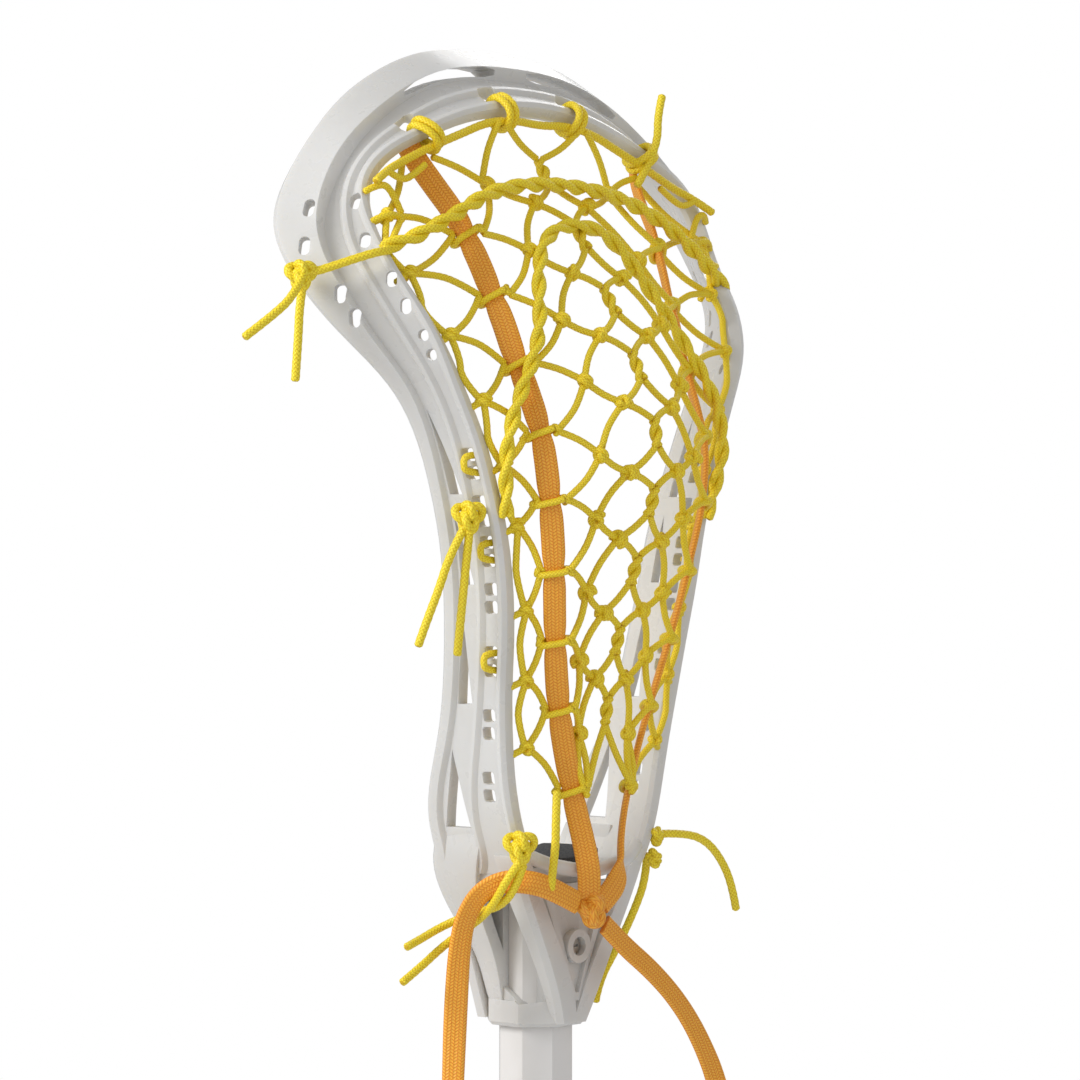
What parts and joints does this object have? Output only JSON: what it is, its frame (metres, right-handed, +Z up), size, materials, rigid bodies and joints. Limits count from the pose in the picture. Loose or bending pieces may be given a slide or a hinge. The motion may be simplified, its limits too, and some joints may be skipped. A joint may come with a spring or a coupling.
{
  "type": "lacrosse stick",
  "caption": "Strung women's lacrosse stick: moulded head with laced pocket and loose string ends on an octagonal shaft with a butt cap.",
  "frame": {"origin": "middle of the butt cap's flat end, on the shaft's axis", "axes": "+Z up the shaft towards the head, +Y the side the ball is caught on, pocket towards -Y"},
  "size_m": [0.2235, 0.0741, 1.0471],
  "materials": {
    "moulding": "glossy white moulded nylon",
    "shaft_paint": "gloss white on aluminium",
    "rubber": "matte black rubber",
    "steel": "zinc plated",
    "foam": "dark closed-cell foam",
    "runner_webbing": "flat woven orange webbing",
    "nylon_cord": "braided yellow nylon cord"
  },
  "bodies": {
    "root": {"head": "moulding", "shaft": "shaft_paint", "end_cap": "rubber", "head_screw": "steel", "ball_stop_pad": "foam", "left_runner": "runner_webbing", "right_runner": "runner_webbing", "runner_knot": "runner_webbing", "left_runner_end": "runner_webbing", "right_runner_end": "runner_webbing", "crosslace": "nylon_cord", "left_wall_lacing": "nylon_cord", "right_wall_lacing": "nylon_cord", "top_string": "nylon_cord", "upper_shooting_string": "nylon_cord", "lower_shooting_string": "nylon_cord", "shooter_knot": "nylon_cord", "middle_knot": "nylon_cord", "throat_knot": "nylon_cord", "right_knots": "nylon_cord", "shooter_tail_outer": "nylon_cord", "shooter_tail_inner": "nylon_cord", "middle_tail_long": "nylon_cord", "middle_tail_short": "nylon_cord", "throat_tail_long": "nylon_cord", "throat_tail_short": "nylon_cord", "top_tail": "nylon_cord", "right_arc_tail": "nylon_cord", "right_long_tail": "nylon_cord", "centre_tail": "nylon_cord"}
  },
  "joints": []
}
